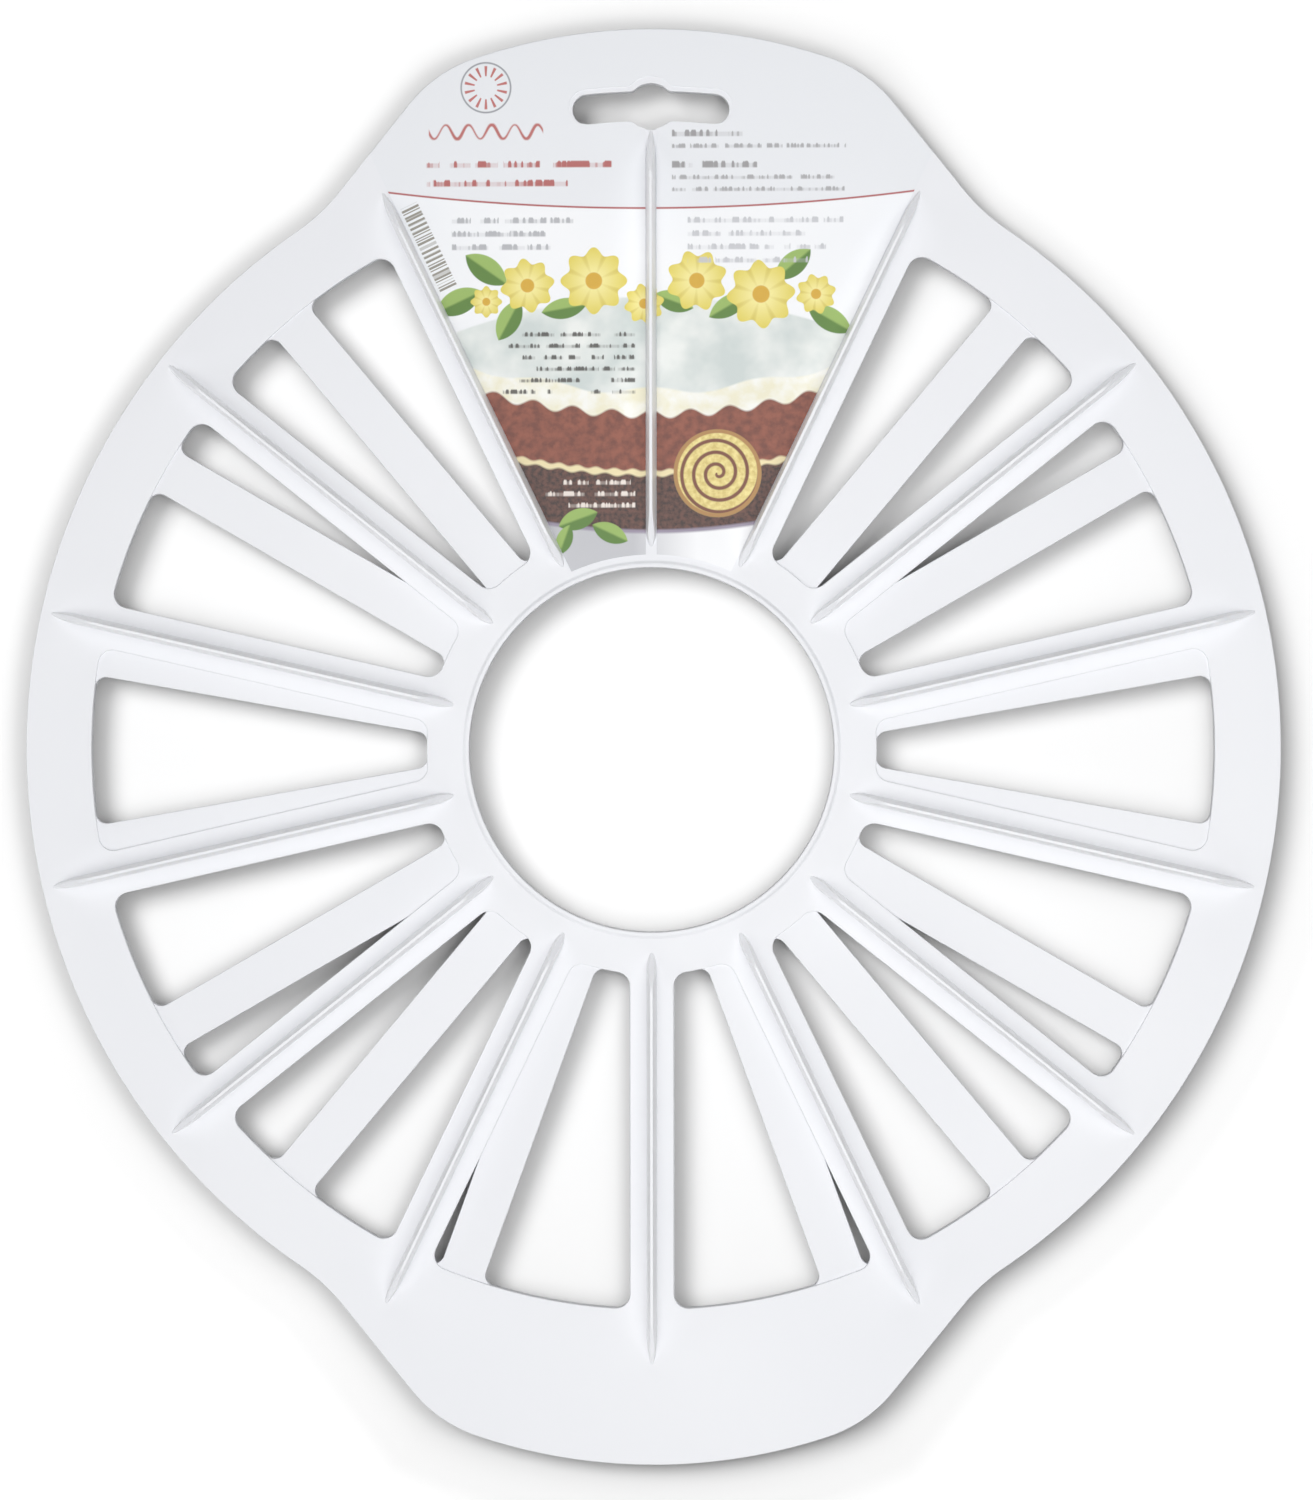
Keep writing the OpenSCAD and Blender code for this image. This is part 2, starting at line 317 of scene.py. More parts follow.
def flat_face(loops, z, facing):
    """Triangles that fill the first loop around the other loops, at height z. facing is 1 for a face
    that looks up and -1 for one that looks down. Slivers along a straight rim have no area and are left
    out. Lengths are in millimetres while it works."""
    flat = np.concatenate(loops) / MM
    starts = np.cumsum([0] + [len(loop) for loop in loops])
    edges = np.concatenate([
        np.stack([np.arange(a, b), np.roll(np.arange(a, b), -1)], axis=1)
        for a, b in zip(starts[:-1], starts[1:])
    ])
    vertices, _, faces, *_ = delaunay_2d_cdt(flat.tolist(), edges.tolist(), [], 0, 1e-6)
    vertices, faces = np.array([tuple(v) for v in vertices]) * MM, np.array(faces)
    middles = vertices[faces].mean(axis=1)
    solid = inside(middles, loops[0])
    for loop in loops[1:]:
        solid &= ~inside(middles, loop)
    faces = faces[solid]
    a, b, c = (vertices[faces[:, i]] for i in range(3))
    area = (b[:, 0] - a[:, 0]) * (c[:, 1] - a[:, 1]) - (b[:, 1] - a[:, 1]) * (c[:, 0] - a[:, 0])
    wrong = np.sign(area) != facing
    faces[wrong] = faces[wrong][:, ::-1]
    return np.column_stack([vertices, np.full(len(vertices), z)]), faces[np.abs(area) > SLIVER]


def build(name, parts, flat_edges=True):
    """One object from several (vertices, faces) parts. Seams are merged, so the shell is closed."""
    vertices, faces, start = [], [], 0
    for v, f in parts:
        vertices.append(v)
        faces += (f + start).tolist()
        start += len(v)
    mesh = bpy.data.meshes.new(name)
    mesh.from_pydata(np.concatenate(vertices).tolist(), [], faces, shade_flat=False)
    merged = bmesh.new()
    merged.from_mesh(mesh)
    bmesh.ops.remove_doubles(merged, verts=merged.verts, dist=0.002 * MM)
    open_edges = sum(1 for e in merged.edges if len(e.link_faces) != 2)
    merged.to_mesh(mesh)
    merged.free()
    if flat_edges:
        crease_flats(mesh)
    obj = bpy.data.objects.new(name, mesh)
    bpy.context.scene.collection.objects.link(obj)
    mesh.calc_loop_triangles()
    print(name, len(mesh.loop_triangles), "triangles,", open_edges, "open edges")
    return obj


def crease_flats(mesh):
    """Marks the edges between a level face and a sloping one as sharp."""
    count = len(mesh.polygons)
    normals = np.empty(count * 3)
    mesh.polygons.foreach_get("normal", normals)
    level = np.abs(normals.reshape(-1, 3)[:, 2]) > 0.99999
    sizes = np.empty(count, int)
    mesh.polygons.foreach_get("loop_total", sizes)
    edge_of = np.empty(len(mesh.loops), int)
    mesh.loops.foreach_get("edge_index", edge_of)
    levels = np.bincount(edge_of, weights=np.repeat(level, sizes), minlength=len(mesh.edges))
    uses = np.bincount(edge_of, minlength=len(mesh.edges))
    sharp = mesh.attributes.get("sharp_edge") or mesh.attributes.new("sharp_edge", "BOOLEAN", "EDGE")
    sharp.data.foreach_set("value", (levels > 0) & (levels < uses))


# %% [markdown]
# ## The wheel
# The wheel is two plates in one. The front plate has a spoke under each of the 14 front blades, and the
# back plate one under each of the 18 back blades. They share the hub, the rim and the ears, and each
# plate's spokes lie a little lower than the other face. That is why fine steps show round the windows.
# A narrow lip stands up round the hole on both faces.

# %% Wheel plates
STEP = 0.6 * MM
EDGE = 0.2 * MM


def plate(name, top, bottom, loops):
    """A plate between two heights: walls with rounded edges along all loops, and both flat faces."""
    profile = np.concatenate([rounding(EDGE, top, 1), rounding(EDGE, bottom, -1)[::-1]])
    inset = [p + EDGE * n for p, n in loops]
    parts = [band(path, profile) for path in loops]
    parts += [flat_face(inset, top, 1), flat_face(inset, bottom, -1)]
    return build(name, parts)


def round_path(radius, count, into):
    """A full circle. Counterclockwise with the material inside for into = -1, clockwise with the
    material outside for into = 1."""
    points, normals = arc((0, 0), radius, 0, 360, count + 1, into)
    return (points[:-1], normals[:-1]) if into < 0 else (points[:0:-1], normals[:0:-1])


HOLE_R, LIP_W, LIP_H = 40.0 * MM, 1.5 * MM, 0.5 * MM
under_lip = round_path(HOLE_R + LIP_W / 2, 180, 1)
front_loops = [outline, under_lip, slot] + front_windows
back_loops = [outline_path(HIDDEN), under_lip, slot_path(HIDDEN)] + back_windows
front_plate = plate("front_plate", FRONT_Z, BACK_Z + STEP, front_loops)
back_plate = plate("back_plate", FRONT_Z - STEP, BACK_Z, back_loops)

# %% Lip round the hole
LIP_EDGE, LIP_SUNK = 0.25 * MM, 0.1 * MM


def lip_profile():
    """From the front face over a low round swell to the hole's wall, and the same below. The swell is
    half a wave: height LIP_H (1 - cos pi w) / 2, over the lip's outer half, then a quarter circle. The
    closing wall lies inside the plates."""
    w = np.linspace(0, 1, 7)
    outer = np.stack([LIP_W * (1 - w / 2), LIP_H * (1 - np.cos(np.pi * w)) / 2], axis=1)
    turn = rounding(LIP_EDGE, LIP_H, 1, 5)
    half = np.concatenate([[[LIP_W + LIP_SUNK, -LIP_SUNK]], outer, turn])
    front = half + [0, FRONT_Z]
    rear = half[::-1] * [1, -1] + [0, BACK_Z]
    return np.concatenate([front, rear])


lip = build("hole_lip", [band(round_path(HOLE_R, 240, 1), lip_profile(), closed=True)], flat_edges=False)

# %% [markdown]
# ## The blades
# A blade is 2 mm thick where it stands on its spoke and 0.7 mm at its ridge. At both ends its ridge
# slopes down to the face, and the blade narrows to a pointed tip. One blade is a grid: along it run the
# stations, and across it the same section from foot to foot is scaled to the height and the thickness
# of that station. Then it is copied round the hub.

# %% Blades
BLADE_IN, BLADE_OUT = 44.5 * MM, 135.2 * MM
ROOT_W, RIDGE_W, TIP_W = 2.0 * MM, 0.7 * MM, 0.5 * MM
INNER_SLOPE, OUTER_SLOPE = 7.5 * MM, 9.5 * MM
INNER_TIP_L, OUTER_TIP_L = 2.5 * MM, 4.5 * MM
FOOT, RIDGE_EDGE = 0.35 * MM, 0.15 * MM
SUNK, CLOSING_DEPTH = 0.04 * MM, 0.3 * MM
BEND = 1.5 * MM


def soft_min(a, b, width):
    """The lower of two curves, with their crossing rounded off over a width."""
    return (a + b - np.sqrt((a - b) ** 2 + width**2)) / 2


def blade_section(height, thick):
    """Half a section from the foot outwards to the middle of the ridge, as x and z columns: a hollow
    quarter circle at the foot, a straight flank, a rounded edge and the flat ridge."""
    foot = np.minimum(FOOT, 0.5 * np.maximum(height, 0))[:, None]
    a = np.radians(np.linspace(0, 90, 5))[None]
    lean = (ROOT_W - RIDGE_W) / 2 / BLADE_H
    root = thick[:, None] / 2
    top = np.maximum(root - lean * np.maximum(height, 0)[:, None], 0.35 * root)
    edge = np.minimum(RIDGE_EDGE, 0.6 * top) * np.clip(height[:, None] / (3 * RIDGE_EDGE), 0, 1)
    x_foot = root + foot * (1 - np.sin(a))
    z_foot = foot * (1 - np.cos(a))
    x_edge = top - edge * (1 - np.cos(a))
    z_edge = height[:, None] - edge * (1 - np.sin(a))
    x = np.concatenate([x_foot, x_edge, np.zeros_like(root)], axis=1)
    z = np.concatenate([z_foot, z_edge, height[:, None]], axis=1)
    return x, z


def blade_grid():
    """Grid of points of one blade along +X that stands on z = 0, with closed ends below the face."""
    inner_l, outer_l = INNER_SLOPE + BEND, OUTER_SLOPE + BEND
    along = np.unique(np.concatenate([
        BLADE_IN + np.linspace(0, inner_l, 13),
        np.linspace(BLADE_IN + inner_l, BLADE_OUT - outer_l, 4),
        BLADE_OUT - np.linspace(0, outer_l, 22),
    ]))
    rise = BLADE_H * (along - BLADE_IN) / INNER_SLOPE
    fall = BLADE_H * (BLADE_OUT - along) / OUTER_SLOPE
    height = soft_min(soft_min(rise, fall, 0.5 * MM), np.full_like(along, BLADE_H), 0.25 * MM)
    tip = soft_min((along - BLADE_IN) / INNER_TIP_L, (BLADE_OUT - along) / OUTER_TIP_L, 0.1)
    thick = TIP_W + (ROOT_W - TIP_W) * np.clip(soft_min(tip, np.ones_like(tip), 0.25), 0, 1)
    x, z = blade_section(height, thick)
    section_x = np.concatenate([x, -x[:, -2::-1]], axis=1)
    section_z = np.concatenate([z, z[:, -2::-1]], axis=1) - SUNK
    stations = np.broadcast_to(along[:, None], section_x.shape)
    return np.stack([stations, section_x, section_z], axis=2)


def blade_ring(name, portions, face, upward):
    """The blade's grid turned to each portion line and set on a face. A bottom row closes it."""
    grid = blade_grid()
    bottom = grid.mean(axis=1, keepdims=True) * [1, 0, 0] - [0, 0, CLOSING_DEPTH]
    grid = np.concatenate([grid, bottom], axis=1)
    ends = np.repeat(grid[[0, -1], -1:], grid.shape[1], axis=1)
    grid = np.concatenate([ends[:1], grid, ends[1:]], axis=0)
    rows, count = grid.shape[:2]
    turn = np.radians(90 + np.arange(portions) * 360 / portions)[:, None, None]
    x = grid[None, ..., 0] * np.cos(turn) - grid[None, ..., 1] * np.sin(turn)
    y = grid[None, ..., 0] * np.sin(turn) + grid[None, ..., 1] * np.cos(turn)
    z = np.broadcast_to(face + upward * grid[None, ..., 2], x.shape)
    j, i = (a.ravel() for a in np.meshgrid(np.arange(rows - 1), np.arange(count), indexing="ij"))
    k = (i + 1) % count
    quads = np.stack([j * count + i, (j + 1) * count + i, (j + 1) * count + k, j * count + k], axis=1)
    if upward < 0:
        quads = quads[:, ::-1]
    quads = (quads[None] + (np.arange(portions) * rows * count)[:, None, None]).reshape(-1, 4)
    return build(name, [(np.stack([x, y, z], axis=-1).reshape(-1, 3), quads)], flat_edges=False)


front_blades = blade_ring("front_blades", FRONT_PORTIONS, FRONT_Z, 1)
back_blades = blade_ring("back_blades", BACK_PORTIONS, BACK_Z, -1)
moulding = [front_plate, back_plate, lip, front_blades, back_blades]

# %% [markdown]
# ## Finishes
# The wheel is satin white plastic with a cool cast. A moulded face isn't a mirror: the mould's fine
# grain scatters the gloss, and the sink of the plastic waves it slowly. Light that travels inside the
# plastic is painted in: the base colour is lighter on the blades' steep flanks and near their ridges. The
# height above the middle of the disc and the direction that the surface faces tell these places from
# the level faces.

# %% Node helpers
def material(name):
    """A new material, and short ways to its nodes: add(kind, inputs, settings) for any node, and
    calc(operation, values) for arithmetic."""
    m = bpy.data.materials.new(name)
    m.use_nodes = True
    tree = m.node_tree

    def add(kind, *values, out=0, **settings):
        node = tree.nodes.new("ShaderNode" + kind)
        for key, value in settings.items():
            setattr(node, key, value)
        for slot, value in zip(node.inputs, values):
            if isinstance(value, bpy.types.NodeSocket):
                tree.links.new(value, slot)
            elif value is not None:
                slot.default_value = value
        return node.outputs[out]

    def calc(operation, *values):
        return add("Math", *values, operation=operation)

    return m, tree.nodes["Principled BSDF"], tree.links, add, calc


def ramp(add, value, low, high, to_low=0.0, to_high=1.0):
    """The value carried in a straight line from low..high to to_low..to_high, and held at the ends."""
    return add("MapRange", value, low, high, to_low, to_high)


def tint(add, mask, first, second):
    """The first colour where the mask is 0 and the second where it is 1."""
    node = add("Mix", data_type="RGBA").node
    tree = node.id_data
    for slot, value in zip((node.inputs[0], node.inputs[6], node.inputs[7]), (mask, first, second)):
        if isinstance(value, bpy.types.NodeSocket):
            tree.links.new(value, slot)
        else:
            slot.default_value = value
    return node.outputs[2]


# %% Plastic
plastic, shader, links, add, calc = material("white_plastic")
place = add("TexCoord", out=3)
height = add("SeparateXYZ", place, out=2)
off_middle = calc("ABSOLUTE", calc("SUBTRACT", height, (FRONT_Z + BACK_Z) / 2))
half_t = (FRONT_Z - BACK_Z) / 2
# Painted light: a lighter base colour on the steep blade flanks and near the ridges stands in for light that
# travels inside the thin plastic.
tilt = calc("ABSOLUTE", add("SeparateXYZ", add("TexCoord", out=1), out=2))
steep = ramp(add, tilt, 0.25, 0.55, 1.0, 0.0)
flank = calc("MULTIPLY", steep, ramp(add, off_middle, half_t, half_t + 0.3 * MM))
near_ridge = ramp(add, off_middle, half_t + 0.8 * BLADE_H, half_t + BLADE_H, 0.0, 0.2)
painted_light_mask = calc("MAXIMUM", flank, near_ridge)
cloud = add("TexNoise", place, None, 14.0, 2.0)
grain = add("TexNoise", place, None, 2600.0, 2.0)
wave = add("TexNoise", place, None, 45.0, 1.0)
SHADED_WHITE, WHITE = (0.818, 0.828, 0.860, 1), (0.838, 0.847, 0.876, 1)
PAINTED_LIGHT_WHITE = (0.935, 0.940, 0.955, 1)
body = tint(add, ramp(add, cloud, 0.35, 0.65), SHADED_WHITE, WHITE)
# The painted light mask lays the lighter white over the body colour on the flanks and ridges.
links.new(tint(add, painted_light_mask, body, PAINTED_LIGHT_WHITE), shader.inputs["Base Color"])
links.new(ramp(add, grain, 0.3, 0.7, 0.38, 0.50), shader.inputs["Roughness"])
relief = calc("ADD", calc("MULTIPLY", grain, 0.06), wave)
bump = add("Bump").node
bump.inputs["Strength"].default_value = 0.25
bump.inputs["Distance"].default_value = 0.12 * MM
links.new(relief, bump.inputs["Height"])
links.new(bump.outputs[0], shader.inputs["Normal"])
for piece in moulding:
    piece.data.materials.append(plastic)
    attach(piece, "root")
    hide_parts("divider")

# %% [markdown]
# ## The printed sheet
# A coated sheet of card lies on the front, round the slot and between three blades. Its print is drawn
# by the material itself: each shape is a distance in millimetres that is negative inside the shape, and
# a soft step at zero makes it a mask. A mask then lays one colour over what is there already. The design
# is a plain one: rows of dashes, a ring of portion marks, a ribbon, some stripes, and a layered cake with
# cream, a rolled slice, blossoms and leaves.

# %% Print helpers
paper, shader, links, add, calc = material("printed_sheet")
PRINT_SOFT = 0.10


def screen(red, green, blue):
    """A colour as it is written for a screen, 0 to 255, in the linear values that a shader takes."""
    c = np.array([red, green, blue]) / 255
    return (*np.where(c < 0.04045, c / 12.92, ((c + 0.055) / 1.055) ** 2.4).tolist(), 1.0)


def split(vector):
    """The x and the y of a vector."""
    node = add("SeparateXYZ", vector).node
    return node.outputs[0], node.outputs[1]


def local(x, y, turn=0.0):
    """A vector in mm from a motif's middle, in the motif's own directions."""
    return add("Mapping", plan, (x, y, 0.0), (0.0, 0.0, math.radians(turn)), vector_type="TEXTURE")


def inner(distance, soft=PRINT_SOFT):
    """1 inside, where the distance is negative, and 0 outside."""
    return ramp(add, distance, -soft, soft, 1.0, 0.0)


def both(*masks):
    """Where all masks hold."""
    result = masks[0]
    for mask in masks[1:]:
        result = calc("MULTIPLY", result, mask)
    return result


def disc(vector, radius):
    """Distance to a circle: the vector's length less the radius."""
    return calc("SUBTRACT", add("VectorMath", vector, out=1, operation="LENGTH"), radius)


def ring(vector, radius, width):
    """Distance to a drawn circle: how far the point is from the circle, less half the line's width."""
    return calc("SUBTRACT", calc("ABSOLUTE", disc(vector, radius)), width / 2)


def bar(vector, half_x, half_y):
    """Distance to a rectangle: the larger of |x| - half_x and |y| - half_y."""
    x, y = split(vector)
    across, along = (calc("SUBTRACT", calc("ABSOLUTE", v), half) for v, half in ((x, half_x), (y, half_y)))
    return calc("MAXIMUM", across, along)


def mottled(first, second, scale, low=0.35, high=0.65):
    """Two colours mixed by noise with so many blots per mm."""
    return tint(add, ramp(add, add("TexNoise", plan, None, scale, 3.0), low, high), first, second)


millimetres = add("VectorMath", add("TexCoord", out=3), None, None, 1000.0, operation="SCALE")
plan_x, plan_y = split(millimetres)
plan = add("CombineXYZ", plan_x, plan_y, 0.0)

# %% Fields of the print
RULE_Y, RULE_R = 118.3, 461.0
square_x = calc("MULTIPLY", plan_x, plan_x)
above_rule = calc("SUBTRACT", plan_y, calc("MULTIPLY_ADD", square_x, 0.5 / RULE_R, RULE_Y))
header = screen(232, 234, 238)
picture = mottled(screen(246, 247, 249), screen(240, 242, 246), 0.02)


def edge_below(middle, bow=0.0035, swing=0.0, period=10.0):
    """Distance above a line across the cake: middle + bow x squared + swing cos(2 pi x / period)."""
    line = calc("MULTIPLY_ADD", square_x, bow, middle)
    if swing:
        turns = calc("MULTIPLY", plan_x, 2 * math.pi / period)
        line = calc("MULTIPLY_ADD", calc("COSINE", turns), swing, line)
    return calc("SUBTRACT", plan_y, line)


cream = mottled(screen(203, 212, 210), screen(235, 238, 235), 0.09)
drip = mottled(screen(236, 232, 206), screen(246, 246, 240), 0.25)
sponge = mottled(screen(112, 54, 38), screen(146, 78, 56), 0.5)
crumb = mottled(screen(48, 26, 20), screen(102, 62, 50), 1.1)
table = tint(add, ramp(add, plan_x, -4.0, 10.0), screen(192, 193, 198), screen(244, 245, 247))
for colour, line in (
    (cream, edge_below(99.0, bow=-0.0042)),
    (drip, edge_below(78.5, swing=0.8, period=23.0)),
    (sponge, edge_below(73.4, swing=0.9, period=8.5)),
    (screen(236, 222, 176), edge_below(61.2, swing=0.25, period=4.0)),
    (crumb, edge_below(60.0, swing=0.3, period=5.0)),
    (screen(150, 140, 160), edge_below(48.2)),
    (table, edge_below(47.4)),
):
    picture = tint(add, inner(line, 0.25), picture, colour)

# %% Roll, blossoms and leaves
def leaf(x, y, length, width, turn):
    """A leaf between two arcs that meet in its tips, dark on one side of its rib and light on the
    other. An arc's radius is (length squared + width squared) / (4 width)."""
    vector = local(x, y, turn)
    radius = (length**2 + width**2) / (4 * width)
    u, v = split(vector)
    side = calc("ADD", calc("ABSOLUTE", v), radius - width / 2)
    mask = inner(disc(add("CombineXYZ", u, side, 0.0), radius))
    green = tint(add, ramp(add, v, -0.25, 0.25), screen(84, 126, 40), screen(150, 182, 92))
    return tint(add, mask, picture, green)


def blossom(x, y, radius, turn):
    """A round blossom of eight petals: the radius swells and shrinks with the cosine of the angle."""
    vector = local(x, y, turn)
    u, v = split(vector)
    petals = calc("COSINE", calc("MULTIPLY", calc("ARCTAN2", v, u), 8.0))
    rim = calc("SUBTRACT", disc(vector, 0.86 * radius), calc("MULTIPLY", petals, 0.10 * radius))
    reach = ramp(add, disc(vector, 0.0), 0.15 * radius, radius)
    flower = tint(add, reach, screen(246, 236, 160), screen(222, 204, 72))
    crease = both(reach, ramp(add, petals, -1.0, -0.5, 0.7, 0.0))
    flower = tint(add, crease, flower, screen(196, 172, 40))
    flower = tint(add, inner(disc(vector, 0.24 * radius)), flower, screen(214, 168, 40))
    return tint(add, inner(rim), picture, flower)


for x, y, length, width, turn in (
    (-42, 98, 11, 5.5, 25), (-36, 105, 11, 5.5, -35), (-31, 94, 10, 5, 62), (-19, 96.5, 10, 4.5, 10),
    (5, 98, 9, 4.5, -20), (17, 97, 10, 4.5, 30), (31, 106, 10, 5, 40), (39, 94, 11, 5, -30),
    (-16, 50.5, 9, 4.5, 20), (-9, 47.5, 8.5, 4.2, -25), (-19, 46, 7, 3.5, 70),
):
    picture = leaf(x, y, length, width, turn)
for x, y, radius, turn in (
    (-27, 101.5, 6.2, 10), (-12.5, 102.5, 7.6, 0), (10, 102.5, 7.0, 20), (24, 99.5, 7.8, 5),
    (36, 99.5, 4.6, 15), (-36, 98.0, 3.6, 0), (-1.5, 97.5, 4.6, 12),
):
    picture = blossom(x, y, radius, turn)

ROLL_PITCH, ROLL_R, CRUST_W = 2.6, 9.6, 0.9
roll = local(14.5, 60.5)
roll_x, roll_y = split(roll)
turned = calc("MULTIPLY", calc("ARCTAN2", roll_y, roll_x), 0.5 / math.pi)
winding = calc("SUBTRACT", calc("MULTIPLY", disc(roll, 0.0), 1 / ROLL_PITCH), turned)
winding = calc("ABSOLUTE", calc("SUBTRACT", calc("FRACT", winding), 0.5))
dough = mottled(screen(214, 192, 112), screen(240, 224, 150), 0.9)
cake_roll = tint(add, ramp(add, winding, 0.10, 0.2), screen(120, 66, 44), dough)
crust = inner(ring(roll, ROLL_R - 0.4, CRUST_W))
cake_roll = tint(add, crust, cake_roll, screen(176, 132, 74))
picture = tint(add, inner(disc(roll, ROLL_R)), picture, cake_roll)

# %% Rows of dashes
def rows(x, y, width, count, pitch, height, seed, align):
    """A block of dashed rows from its upper left corner. One noise along x opens gaps between the dashes,
    another cuts them into strokes and raises the bold ones. A row is 70 to 100% as long as the block is
    wide, and align, 0 to 1, moves it from the left to the right side."""
    u, v = split(local(x, y))
    turns = calc("MULTIPLY", v, -1 / pitch)
    row = calc("FLOOR", turns)
    level = calc("MULTIPLY", calc("SUBTRACT", 0.5, calc("FRACT", turns)), pitch)
    chance = add("TexWhiteNoise", None, calc("ADD", row, seed), noise_dimensions="1D")
    length = calc("MULTIPLY_ADD", chance, 0.3 * width, 0.7 * width)
    start = calc("MULTIPLY", calc("SUBTRACT", width, length), align)
    from_start = calc("SUBTRACT", u, start)
    ends = calc("MAXIMUM", calc("MULTIPLY", from_start, -1.0), calc("SUBTRACT", from_start, length))
    block = calc("SUBTRACT", calc("ABSOLUTE", calc("ADD", v, count * pitch / 2)), count * pitch / 2)
    place_x, place_y = calc("MULTIPLY", u, 1 / height), calc("MULTIPLY_ADD", row, 7.3, seed)
    words = add("TexNoise", add("CombineXYZ", place_x, place_y, 0.0), None, 0.42, 0.0)
    marks = add("TexNoise", add("CombineXYZ", place_x, place_y, 5.0), None, 1.9, 0.0)
    top = ramp(add, marks, 0.50, 0.60, 0.3 * height, 0.6 * height)
    stroke = calc("MAXIMUM", calc("SUBTRACT", level, top), calc("SUBTRACT", -0.35 * height, level))
    return both(
        inner(stroke, 0.15), inner(ends), inner(block),
        ramp(add, words, 0.36, 0.39), ramp(add, marks, 0.40, 0.56, 0.25, 0.95),
    )


picture = tint(add, inner(calc("MULTIPLY", above_rule, -1.0)), picture, header)
picture = tint(add, inner(calc("SUBTRACT", calc("ABSOLUTE", above_rule), 0.2)), picture, screen(172, 84, 84))
for colour, x, y, width, count, pitch, height, seed, align in (
    (screen(176, 84, 80), -49.0, 129.8, 44.0, 2, 4.1, 1.5, 3.0, 0.0),
    (screen(150, 148, 150), 4.6, 136.0, 20.0, 1, 3.2, 1.5, 11.0, 0.0),
    (screen(166, 165, 168), 4.6, 132.9, 40.0, 1, 2.4, 1.0, 17.0, 0.0),
    (screen(150, 148, 150), 4.6, 129.2, 24.0, 1, 3.2, 1.5, 23.0, 0.0),
    (screen(166, 165, 168), 4.6, 126.2, 42.0, 2, 2.6, 1.0, 29.0, 0.0),
    (screen(176, 177, 182), -43.5, 117.0, 28.0, 3, 2.9, 1.3, 37.0, 0.0),
    (screen(196, 197, 202), 8.0, 117.0, 35.0, 4, 2.9, 1.3, 43.0, 0.0),
    (screen(72, 70, 66), -33.5, 92.0, 30.0, 6, 2.5, 1.0, 53.0, 1.0),
    (screen(238, 228, 220), -23.5, 59.7, 20.0, 3, 2.5, 1.1, 61.0, 1.0),
):
    picture = tint(add, rows(x, y, width, count, pitch, height, seed, align), picture, colour)

# %% [markdown]
# The ribbon is a sine wave of a pen's changing width. Its distance is the height above the wave, divided
# by the wave's stretch, the square root of 1 + slope squared. The stripes are one noise along a line, and
# the ring of portion marks is the cosine of 14 times the angle.

# %% Ribbon, stripes and the portion ring
WAVE_H, WAVE_TURNS = 1.5, 1.25
ribbon = local(-36.0, 135.0)
ribbon_x, ribbon_y = split(ribbon)
turns = calc("MULTIPLY", ribbon_x, WAVE_TURNS)
swing = calc("MULTIPLY", calc("SINE", turns), WAVE_H)
slope = calc("MULTIPLY", calc("COSINE", turns), WAVE_H * WAVE_TURNS)
stretch = calc("SQRT", calc("MULTIPLY_ADD", slope, slope, 1.0))
wavy = calc("DIVIDE", calc("ABSOLUTE", calc("SUBTRACT", ribbon_y, swing)), stretch)
half_line = ramp(add, calc("SINE", calc("MULTIPLY", ribbon_x, 0.8)), -1.0, 1.0, 0.16, 0.36)
wavy = inner(calc("SUBTRACT", wavy, half_line), 0.15)
picture = tint(add, both(wavy, inner(bar(ribbon, 12.5, 4.0))), picture, screen(186, 104, 100))

stripes = local(-48.6, 110.0, -64.3)
lines = add("TexNoise", add("CombineXYZ", split(stripes)[0], 0.0, 0.0), None, 1.9, 0.0)
stripe_ink = both(ramp(add, lines, 0.47, 0.53), inner(bar(stripes, 10.0, 2.0)))
picture = tint(add, stripe_ink, picture, screen(146, 142, 132))

marks = local(-36.0, 144.6)
mark_x, mark_y = split(marks)
rays = calc("COSINE", calc("MULTIPLY", calc("ARCTAN2", mark_x, mark_y), float(FRONT_PORTIONS)))
rays = both(ramp(add, rays, 0.45, 0.7), inner(ring(marks, 3.6, 2.2)))
picture = tint(add, rays, picture, screen(190, 110, 106))
picture = tint(add, inner(ring(marks, 5.4, 0.35)), picture, screen(150, 152, 158))

# %% Finish of the sheet
links.new(picture, shader.inputs["Base Color"])
fibres = add("TexNoise", plan, None, 3.0, 2.0)
curl = add("TexNoise", plan, None, 0.03, 1.0)
links.new(ramp(add, fibres, 0.3, 0.7, 0.34, 0.44), shader.inputs["Roughness"])
bump = add("Bump").node
bump.inputs["Strength"].default_value = 0.2
bump.inputs["Distance"].default_value = 0.15 * MM
links.new(calc("MULTIPLY_ADD", fibres, 0.03, curl), bump.inputs["Height"])
links.new(bump.outputs[0], shader.inputs["Normal"])
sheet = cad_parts["printed_sheet"]
sheet.data.materials.clear()
sheet.data.materials.append(paper)
print(len(paper.node_tree.nodes), "nodes draw the print")

# %% [markdown]
# ## The floor
# The object lies on a white floor. The floor is white for the camera and for reflections, but it sends
# little light back up, so that the shadow under the wheel stays deep. Its lamps stand close and would
# leave its far parts grey, so the floor has a glow of its own, which grows with the distance outside the
# outline and keeps it white up to the horizon.

